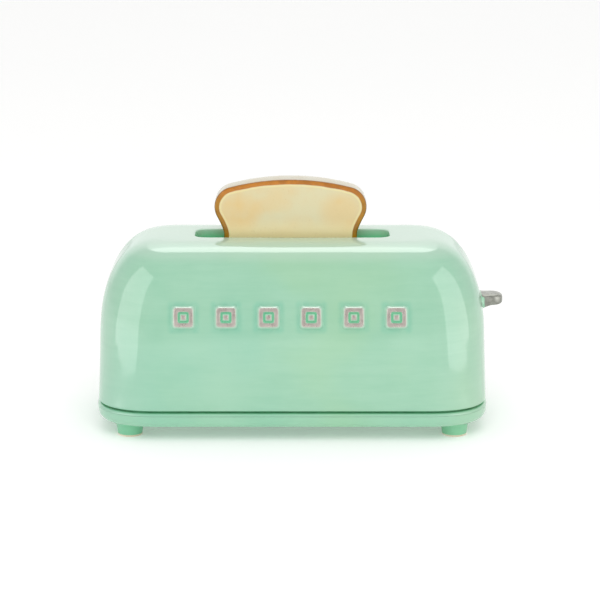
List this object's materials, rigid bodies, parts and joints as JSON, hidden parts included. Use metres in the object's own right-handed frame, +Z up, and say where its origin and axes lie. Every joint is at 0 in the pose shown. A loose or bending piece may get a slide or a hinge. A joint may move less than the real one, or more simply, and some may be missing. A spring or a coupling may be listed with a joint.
{
  "type": "covered butter dish",
  "caption": "Footed ceramic butter dish whose lift-off cover is shaped like a retro toaster, with a toast slice in its slot, a side lever and a row of raised tablets.",
  "frame": {"origin": "on the surface the feet stand on, under the middle of the whole object's box, lever included", "axes": "+X along the length to the lever end, +Y from the front with the tablets to the back, +Z up"},
  "size_m": [0.1984, 0.0948, 0.1205],
  "materials": {
    "mint_glaze": "glossy mint-green glaze, brushed on in thin streaks and darker where it pools",
    "toast_glaze": "hand-painted bread under a clear gloss glaze, with an orange-brown crust line",
    "silver_lustre": "silver metallic lustre painted on the glaze"
  },
  "bodies": {
    "tray": {"tray": "mint_glaze", "foot_front_left": "mint_glaze", "foot_front_right": "mint_glaze", "foot_rear_left": "mint_glaze", "foot_rear_right": "mint_glaze"},
    "cover": {"cover_shell": "mint_glaze", "toast_slice": "toast_glaze", "lever_knob": "silver_lustre", "relief_tablet_1": "silver_lustre", "relief_tablet_2": "silver_lustre", "relief_tablet_3": "silver_lustre", "relief_tablet_4": "silver_lustre", "relief_tablet_5": "silver_lustre", "relief_tablet_6": "silver_lustre"}
  },
  "joints": [
    {"name": "cover_lift", "type": "slide", "parent": "tray", "child": "cover", "axis": [0, 0, 1], "range_m": [0, 0.12]}
  ]
}
